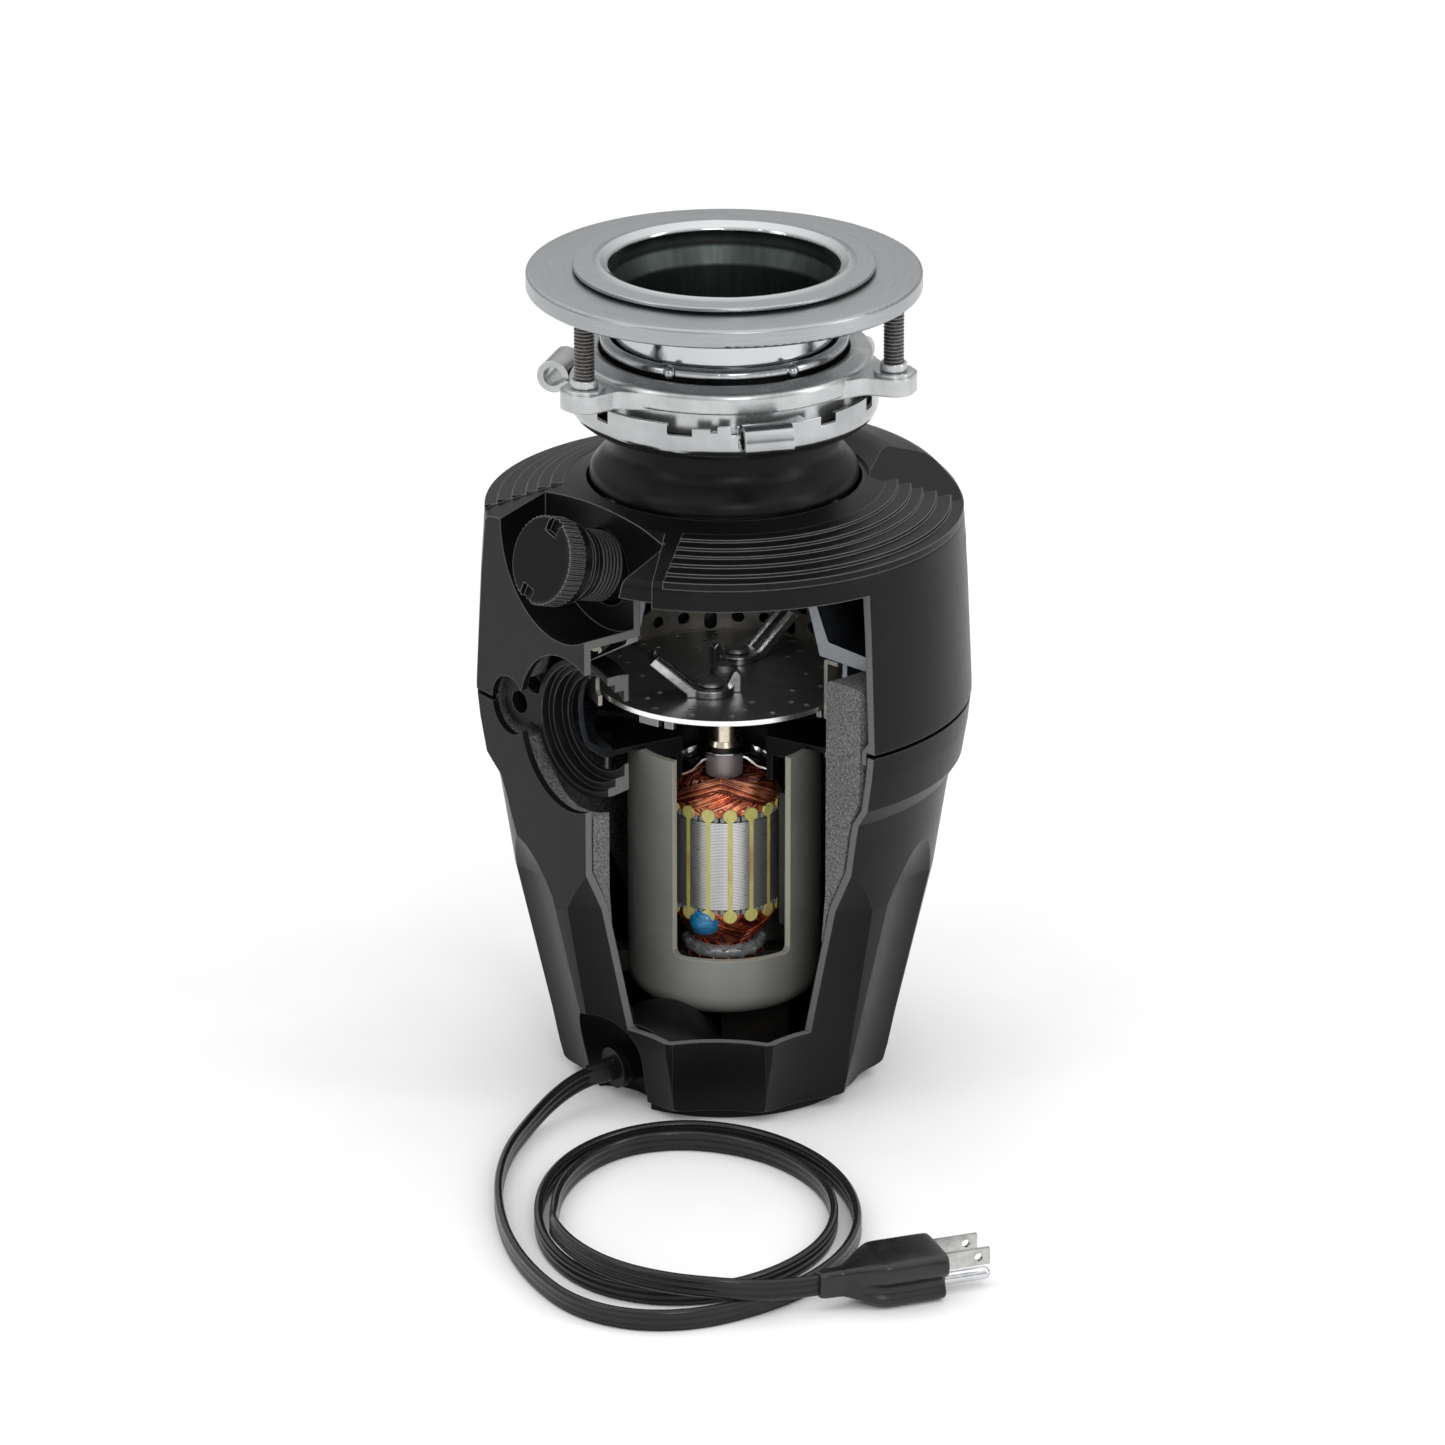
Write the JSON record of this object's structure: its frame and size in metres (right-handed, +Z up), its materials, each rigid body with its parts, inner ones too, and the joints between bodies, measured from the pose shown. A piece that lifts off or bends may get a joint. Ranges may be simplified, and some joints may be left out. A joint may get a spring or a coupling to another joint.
{
  "type": "kitchen garbage disposal",
  "caption": "Continuous-feed kitchen garbage disposal shown cut open: sink mount, grinder with swivel impellers, motor, coiled power cord with plug.",
  "frame": {"origin": "centre of the round base, on the surface that the disposal stands on", "axes": "+Z up along the motor shaft, -Y towards the cut-open front, +X to the right"},
  "size_m": [0.1922, 0.3407, 0.329],
  "materials": {
    "brushed_steel": "satin",
    "polished_steel": "polished",
    "cast_metal": "bead blasted, satin",
    "dark_steel": "oiled thread",
    "black_shell": "satin moulded",
    "chamber": "moulded",
    "rubber": "soft sheen",
    "foam": "open cell, matte",
    "shredder_steel": "satin",
    "table_steel": "polished, dark reflections",
    "impeller_steel": "cast, polished",
    "hub_brass": "turned",
    "shaft_steel": "ground",
    "sintered": "sintered bronze, oiled",
    "can_paint": "satin",
    "ferrite": "ground ferrite",
    "laminations": "stacked sheets",
    "slot_paper": "varnished paper",
    "copper_wire": "enamelled wire",
    "varnish": "sealing varnish",
    "glaze": "glazed",
    "carbon": "carbon",
    "spring_steel": "drawn wire",
    "holder_plastic": "moulded",
    "red_plastic": "moulded",
    "cord_jacket": "vinyl",
    "blade_metal": "nickel plated"
  },
  "bodies": {
    "housing": {"sink_flange": "brushed_steel", "support_ring": "brushed_steel", "snap_ring": "polished_steel", "mounting_ring": "cast_metal", "screw_collars": "cast_metal", "mounting_screws": "dark_steel", "base_screws": "dark_steel", "motor_bolts": "dark_steel", "upper_housing": "black_shell", "lower_housing": "black_shell", "dishwasher_inlet": "black_shell", "discharge_port": "black_shell", "base_cover": "black_shell", "wiring_cover": "black_shell", "cord_gland": "black_shell", "upper_end_frame": "black_shell", "hopper": "chamber", "drain_bowl": "chamber", "neck_gasket": "rubber", "flange_gasket": "rubber", "foam_right": "foam", "foam_left": "foam", "shredder_ring": "shredder_steel", "bearing_cup": "shaft_steel", "upper_bearing": "sintered", "lower_bearing": "sintered", "motor_can": "can_paint", "magnets": "ferrite", "brushes": "carbon", "brush_springs": "spring_steel", "brush_holders": "holder_plastic", "overload_protector": "holder_plastic", "rectifier": "holder_plastic", "cord": "cord_jacket", "plug_body": "cord_jacket", "plug_blades": "blade_metal", "plug_ground_pin": "blade_metal"},
    "rotor": {"turntable": "table_steel", "turntable_nut": "table_steel", "impeller_rivets": "table_steel", "rotor_hub": "hub_brass", "slinger": "polished_steel", "shaft": "shaft_steel", "armature_core": "laminations", "slot_liners": "slot_paper", "upper_winding": "copper_wire", "lower_winding": "copper_wire", "varnish_patch": "varnish", "commutator": "glaze"},
    "impeller_front": {"impeller_front": "impeller_steel"},
    "impeller_rear": {"impeller_rear": "impeller_steel"},
    "lock_ring": {"lock_ring": "polished_steel"},
    "dishwasher_cap": {"dishwasher_cap": "black_shell"},
    "reset_button": {"reset_button": "red_plastic"}
  },
  "joints": [
    {"name": "rotor_spin", "type": "hinge", "parent": "housing", "child": "rotor", "pos_m": [0, 0, 0.1], "axis": [0, 0, 1], "continuous": true},
    {"name": "impeller_front_swivel", "type": "hinge", "parent": "rotor", "child": "impeller_front", "pos_m": [-0.00489, -0.01826, 0.1615], "axis": [0, 0, 1], "continuous": true},
    {"name": "impeller_rear_swivel", "type": "hinge", "parent": "rotor", "child": "impeller_rear", "pos_m": [0.00489, 0.01826, 0.1615], "axis": [0, 0, 1], "continuous": true},
    {"name": "lock_ring_turn", "type": "hinge", "parent": "housing", "child": "lock_ring", "pos_m": [0, 0, 0.275], "axis": [0, 0, 1], "range_deg": [-30, 0]},
    {"name": "dishwasher_cap_turn", "type": "hinge", "parent": "housing", "child": "dishwasher_cap", "pos_m": [-0.06903, -0.05393, 0.228], "axis": [-0.7536, -0.5888, 0.2924], "range_deg": [0, 90]},
    {"name": "reset_button_press", "type": "slide", "parent": "housing", "child": "reset_button", "axis": [0, 0, 1], "range_m": [0, 0.0025], "stiffness_N_per_m": 300, "springref_m": -0.002}
  ]
}
